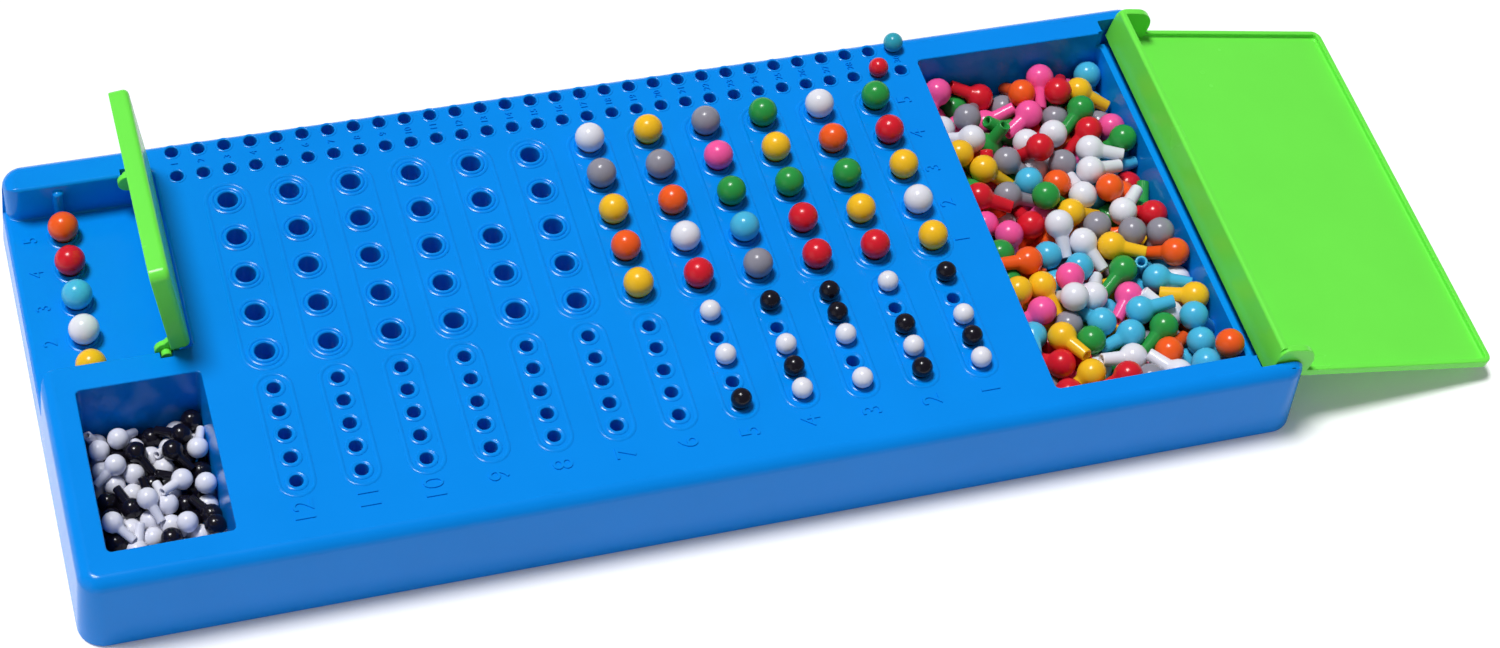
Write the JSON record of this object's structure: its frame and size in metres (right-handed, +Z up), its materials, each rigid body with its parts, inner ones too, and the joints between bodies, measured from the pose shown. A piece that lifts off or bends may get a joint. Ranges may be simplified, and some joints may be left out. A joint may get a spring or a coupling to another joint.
{
  "type": "code breaking peg game",
  "caption": "Pegboard game: long moulded board with code, key and score holes, peg trays, a secret code bay with a hinged flap and a hinged tray lid.",
  "frame": {"origin": "on the table, under the middle of the game as it stands with its tray lid open", "axes": "+X along the board towards the tray lid, +Y from the near side to the score track, +Z up"},
  "size_m": [0.4248, 0.1522, 0.0632],
  "materials": {
    "board_blue": "glossy moulded plastic",
    "cover_green": "satin moulded plastic",
    "peg_white": "glossy moulded plastic",
    "peg_black": "glossy moulded plastic",
    "peg_grey": "glossy moulded plastic",
    "peg_yellow": "glossy moulded plastic",
    "peg_orange": "glossy moulded plastic",
    "peg_red": "glossy moulded plastic",
    "peg_pink": "glossy moulded plastic",
    "peg_green": "glossy moulded plastic",
    "peg_light_blue": "glossy moulded plastic",
    "peg_teal": "glossy moulded plastic"
  },
  "bodies": {
    "board": {"game_board": "board_blue", "loose_code_pegs": "peg_pink"},
    "flap": {"secret_flap": "cover_green"},
    "lid": {"tray_lid": "cover_green"},
    "code_peg_c6_r5": {"code_peg_c6_r5": "peg_white"},
    "code_peg_c6_r4": {"code_peg_c6_r4": "peg_grey"},
    "code_peg_c6_r3": {"code_peg_c6_r3": "peg_yellow"},
    "code_peg_c6_r2": {"code_peg_c6_r2": "peg_orange"},
    "code_peg_c6_r1": {"code_peg_c6_r1": "peg_yellow"},
    "code_peg_c5_r5": {"code_peg_c5_r5": "peg_yellow"},
    "code_peg_c5_r4": {"code_peg_c5_r4": "peg_grey"},
    "code_peg_c5_r3": {"code_peg_c5_r3": "peg_orange"},
    "code_peg_c5_r2": {"code_peg_c5_r2": "peg_white"},
    "code_peg_c5_r1": {"code_peg_c5_r1": "peg_red"},
    "code_peg_c4_r5": {"code_peg_c4_r5": "peg_grey"},
    "code_peg_c4_r4": {"code_peg_c4_r4": "peg_pink"},
    "code_peg_c4_r3": {"code_peg_c4_r3": "peg_green"},
    "code_peg_c4_r2": {"code_peg_c4_r2": "peg_light_blue"},
    "code_peg_c4_r1": {"code_peg_c4_r1": "peg_grey"},
    "code_peg_c3_r5": {"code_peg_c3_r5": "peg_green"},
    "code_peg_c3_r4": {"code_peg_c3_r4": "peg_yellow"},
    "code_peg_c3_r3": {"code_peg_c3_r3": "peg_green"},
    "code_peg_c3_r2": {"code_peg_c3_r2": "peg_red"},
    "code_peg_c3_r1": {"code_peg_c3_r1": "peg_red"},
    "code_peg_c2_r5": {"code_peg_c2_r5": "peg_white"},
    "code_peg_c2_r4": {"code_peg_c2_r4": "peg_orange"},
    "code_peg_c2_r3": {"code_peg_c2_r3": "peg_green"},
    "code_peg_c2_r2": {"code_peg_c2_r2": "peg_yellow"},
    "code_peg_c2_r1": {"code_peg_c2_r1": "peg_red"},
    "code_peg_c1_r5": {"code_peg_c1_r5": "peg_green"},
    "code_peg_c1_r4": {"code_peg_c1_r4": "peg_red"},
    "code_peg_c1_r3": {"code_peg_c1_r3": "peg_yellow"},
    "code_peg_c1_r2": {"code_peg_c1_r2": "peg_white"},
    "code_peg_c1_r1": {"code_peg_c1_r1": "peg_yellow"},
    "secret_peg_r5": {"secret_peg_r5": "peg_orange"},
    "secret_peg_r4": {"secret_peg_r4": "peg_red"},
    "secret_peg_r3": {"secret_peg_r3": "peg_light_blue"},
    "secret_peg_r2": {"secret_peg_r2": "peg_white"},
    "secret_peg_r1": {"secret_peg_r1": "peg_yellow"},
    "key_peg_c5_r5": {"key_peg_c5_r5": "peg_white"},
    "key_peg_c5_r3": {"key_peg_c5_r3": "peg_white"},
    "key_peg_c5_r1": {"key_peg_c5_r1": "peg_black"},
    "key_peg_c4_r5": {"key_peg_c4_r5": "peg_black"},
    "key_peg_c4_r3": {"key_peg_c4_r3": "peg_white"},
    "key_peg_c4_r2": {"key_peg_c4_r2": "peg_black"},
    "key_peg_c4_r1": {"key_peg_c4_r1": "peg_white"},
    "key_peg_c3_r5": {"key_peg_c3_r5": "peg_black"},
    "key_peg_c3_r4": {"key_peg_c3_r4": "peg_black"},
    "key_peg_c3_r3": {"key_peg_c3_r3": "peg_white"},
    "key_peg_c3_r1": {"key_peg_c3_r1": "peg_white"},
    "key_peg_c2_r5": {"key_peg_c2_r5": "peg_white"},
    "key_peg_c2_r3": {"key_peg_c2_r3": "peg_black"},
    "key_peg_c2_r2": {"key_peg_c2_r2": "peg_white"},
    "key_peg_c2_r1": {"key_peg_c2_r1": "peg_black"},
    "key_peg_c1_r5": {"key_peg_c1_r5": "peg_black"},
    "key_peg_c1_r3": {"key_peg_c1_r3": "peg_white"},
    "key_peg_c1_r2": {"key_peg_c1_r2": "peg_black"},
    "key_peg_c1_r1": {"key_peg_c1_r1": "peg_white"},
    "score_peg_near": {"score_peg_near": "peg_red"},
    "score_peg_far": {"score_peg_far": "peg_teal"}
  },
  "joints": [
    {"name": "flap_hinge", "type": "hinge", "parent": "board", "child": "flap", "pos_m": [-0.17556, 0.03125, 0.0263], "axis": [0, 1, 0], "range_deg": [-82, 5]},
    {"name": "lid_hinge", "type": "hinge", "parent": "board", "child": "lid", "pos_m": [0.13944, -0.00085, 0.0251], "axis": [0, 1, 0], "range_deg": [-191.63, 0]},
    {"name": "secret_peg_r5_lift", "type": "slide", "parent": "board", "child": "secret_peg_r5", "axis": [0, 0, 1], "range_m": [0, 0.012]},
    {"name": "secret_peg_r4_lift", "type": "slide", "parent": "board", "child": "secret_peg_r4", "axis": [0, 0, 1], "range_m": [0, 0.012]},
    {"name": "secret_peg_r3_lift", "type": "slide", "parent": "board", "child": "secret_peg_r3", "axis": [0, 0, 1], "range_m": [0, 0.012]},
    {"name": "secret_peg_r2_lift", "type": "slide", "parent": "board", "child": "secret_peg_r2", "axis": [0, 0, 1], "range_m": [0, 0.012]},
    {"name": "secret_peg_r1_lift", "type": "slide", "parent": "board", "child": "secret_peg_r1", "axis": [0, 0, 1], "range_m": [0, 0.012]},
    {"name": "score_peg_near_lift", "type": "slide", "parent": "board", "child": "score_peg_near", "axis": [0, 0, 1], "range_m": [0, 0.009]},
    {"name": "score_peg_far_lift", "type": "slide", "parent": "board", "child": "score_peg_far", "axis": [0, 0, 1], "range_m": [0, 0.009]},
    {"name": "code_peg_c6_r5_lift", "type": "slide", "parent": "board", "child": "code_peg_c6_r5", "axis": [0, 0, 1], "range_m": [0, 0.012]},
    {"name": "code_peg_c6_r4_lift", "type": "slide", "parent": "board", "child": "code_peg_c6_r4", "axis": [0, 0, 1], "range_m": [0, 0.012]},
    {"name": "code_peg_c6_r3_lift", "type": "slide", "parent": "board", "child": "code_peg_c6_r3", "axis": [0, 0, 1], "range_m": [0, 0.012]},
    {"name": "code_peg_c6_r2_lift", "type": "slide", "parent": "board", "child": "code_peg_c6_r2", "axis": [0, 0, 1], "range_m": [0, 0.012]},
    {"name": "code_peg_c6_r1_lift", "type": "slide", "parent": "board", "child": "code_peg_c6_r1", "axis": [0, 0, 1], "range_m": [0, 0.012]},
    {"name": "code_peg_c5_r5_lift", "type": "slide", "parent": "board", "child": "code_peg_c5_r5", "axis": [0, 0, 1], "range_m": [0, 0.012]},
    {"name": "code_peg_c5_r4_lift", "type": "slide", "parent": "board", "child": "code_peg_c5_r4", "axis": [0, 0, 1], "range_m": [0, 0.012]},
    {"name": "code_peg_c5_r3_lift", "type": "slide", "parent": "board", "child": "code_peg_c5_r3", "axis": [0, 0, 1], "range_m": [0, 0.012]},
    {"name": "code_peg_c5_r2_lift", "type": "slide", "parent": "board", "child": "code_peg_c5_r2", "axis": [0, 0, 1], "range_m": [0, 0.012]},
    {"name": "code_peg_c5_r1_lift", "type": "slide", "parent": "board", "child": "code_peg_c5_r1", "axis": [0, 0, 1], "range_m": [0, 0.012]},
    {"name": "code_peg_c4_r5_lift", "type": "slide", "parent": "board", "child": "code_peg_c4_r5", "axis": [0, 0, 1], "range_m": [0, 0.012]},
    {"name": "code_peg_c4_r4_lift", "type": "slide", "parent": "board", "child": "code_peg_c4_r4", "axis": [0, 0, 1], "range_m": [0, 0.012]},
    {"name": "code_peg_c4_r3_lift", "type": "slide", "parent": "board", "child": "code_peg_c4_r3", "axis": [0, 0, 1], "range_m": [0, 0.012]},
    {"name": "code_peg_c4_r2_lift", "type": "slide", "parent": "board", "child": "code_peg_c4_r2", "axis": [0, 0, 1], "range_m": [0, 0.012]},
    {"name": "code_peg_c4_r1_lift", "type": "slide", "parent": "board", "child": "code_peg_c4_r1", "axis": [0, 0, 1], "range_m": [0, 0.012]},
    {"name": "code_peg_c3_r5_lift", "type": "slide", "parent": "board", "child": "code_peg_c3_r5", "axis": [0, 0, 1], "range_m": [0, 0.012]},
    {"name": "code_peg_c3_r4_lift", "type": "slide", "parent": "board", "child": "code_peg_c3_r4", "axis": [0, 0, 1], "range_m": [0, 0.012]},
    {"name": "code_peg_c3_r3_lift", "type": "slide", "parent": "board", "child": "code_peg_c3_r3", "axis": [0, 0, 1], "range_m": [0, 0.012]},
    {"name": "code_peg_c3_r2_lift", "type": "slide", "parent": "board", "child": "code_peg_c3_r2", "axis": [0, 0, 1], "range_m": [0, 0.012]},
    {"name": "code_peg_c3_r1_lift", "type": "slide", "parent": "board", "child": "code_peg_c3_r1", "axis": [0, 0, 1], "range_m": [0, 0.012]},
    {"name": "code_peg_c2_r5_lift", "type": "slide", "parent": "board", "child": "code_peg_c2_r5", "axis": [0, 0, 1], "range_m": [0, 0.012]},
    {"name": "code_peg_c2_r4_lift", "type": "slide", "parent": "board", "child": "code_peg_c2_r4", "axis": [0, 0, 1], "range_m": [0, 0.012]},
    {"name": "code_peg_c2_r3_lift", "type": "slide", "parent": "board", "child": "code_peg_c2_r3", "axis": [0, 0, 1], "range_m": [0, 0.012]},
    {"name": "code_peg_c2_r2_lift", "type": "slide", "parent": "board", "child": "code_peg_c2_r2", "axis": [0, 0, 1], "range_m": [0, 0.012]},
    {"name": "code_peg_c2_r1_lift", "type": "slide", "parent": "board", "child": "code_peg_c2_r1", "axis": [0, 0, 1], "range_m": [0, 0.012]},
    {"name": "code_peg_c1_r5_lift", "type": "slide", "parent": "board", "child": "code_peg_c1_r5", "axis": [0, 0, 1], "range_m": [0, 0.012]},
    {"name": "code_peg_c1_r4_lift", "type": "slide", "parent": "board", "child": "code_peg_c1_r4", "axis": [0, 0, 1], "range_m": [0, 0.012]},
    {"name": "code_peg_c1_r3_lift", "type": "slide", "parent": "board", "child": "code_peg_c1_r3", "axis": [0, 0, 1], "range_m": [0, 0.012]},
    {"name": "code_peg_c1_r2_lift", "type": "slide", "parent": "board", "child": "code_peg_c1_r2", "axis": [0, 0, 1], "range_m": [0, 0.012]},
    {"name": "code_peg_c1_r1_lift", "type": "slide", "parent": "board", "child": "code_peg_c1_r1", "axis": [0, 0, 1], "range_m": [0, 0.012]},
    {"name": "key_peg_c5_r5_lift", "type": "slide", "parent": "board", "child": "key_peg_c5_r5", "axis": [0, 0, 1], "range_m": [0, 0.009]},
    {"name": "key_peg_c5_r3_lift", "type": "slide", "parent": "board", "child": "key_peg_c5_r3", "axis": [0, 0, 1], "range_m": [0, 0.009]},
    {"name": "key_peg_c5_r1_lift", "type": "slide", "parent": "board", "child": "key_peg_c5_r1", "axis": [0, 0, 1], "range_m": [0, 0.009]},
    {"name": "key_peg_c4_r5_lift", "type": "slide", "parent": "board", "child": "key_peg_c4_r5", "axis": [0, 0, 1], "range_m": [0, 0.009]},
    {"name": "key_peg_c4_r3_lift", "type": "slide", "parent": "board", "child": "key_peg_c4_r3", "axis": [0, 0, 1], "range_m": [0, 0.009]},
    {"name": "key_peg_c4_r2_lift", "type": "slide", "parent": "board", "child": "key_peg_c4_r2", "axis": [0, 0, 1], "range_m": [0, 0.009]},
    {"name": "key_peg_c4_r1_lift", "type": "slide", "parent": "board", "child": "key_peg_c4_r1", "axis": [0, 0, 1], "range_m": [0, 0.009]},
    {"name": "key_peg_c3_r5_lift", "type": "slide", "parent": "board", "child": "key_peg_c3_r5", "axis": [0, 0, 1], "range_m": [0, 0.009]},
    {"name": "key_peg_c3_r4_lift", "type": "slide", "parent": "board", "child": "key_peg_c3_r4", "axis": [0, 0, 1], "range_m": [0, 0.009]},
    {"name": "key_peg_c3_r3_lift", "type": "slide", "parent": "board", "child": "key_peg_c3_r3", "axis": [0, 0, 1], "range_m": [0, 0.009]},
    {"name": "key_peg_c3_r1_lift", "type": "slide", "parent": "board", "child": "key_peg_c3_r1", "axis": [0, 0, 1], "range_m": [0, 0.009]},
    {"name": "key_peg_c2_r5_lift", "type": "slide", "parent": "board", "child": "key_peg_c2_r5", "axis": [0, 0, 1], "range_m": [0, 0.009]},
    {"name": "key_peg_c2_r3_lift", "type": "slide", "parent": "board", "child": "key_peg_c2_r3", "axis": [0, 0, 1], "range_m": [0, 0.009]},
    {"name": "key_peg_c2_r2_lift", "type": "slide", "parent": "board", "child": "key_peg_c2_r2", "axis": [0, 0, 1], "range_m": [0, 0.009]},
    {"name": "key_peg_c2_r1_lift", "type": "slide", "parent": "board", "child": "key_peg_c2_r1", "axis": [0, 0, 1], "range_m": [0, 0.009]},
    {"name": "key_peg_c1_r5_lift", "type": "slide", "parent": "board", "child": "key_peg_c1_r5", "axis": [0, 0, 1], "range_m": [0, 0.009]},
    {"name": "key_peg_c1_r3_lift", "type": "slide", "parent": "board", "child": "key_peg_c1_r3", "axis": [0, 0, 1], "range_m": [0, 0.009]},
    {"name": "key_peg_c1_r2_lift", "type": "slide", "parent": "board", "child": "key_peg_c1_r2", "axis": [0, 0, 1], "range_m": [0, 0.009]},
    {"name": "key_peg_c1_r1_lift", "type": "slide", "parent": "board", "child": "key_peg_c1_r1", "axis": [0, 0, 1], "range_m": [0, 0.009]}
  ]
}
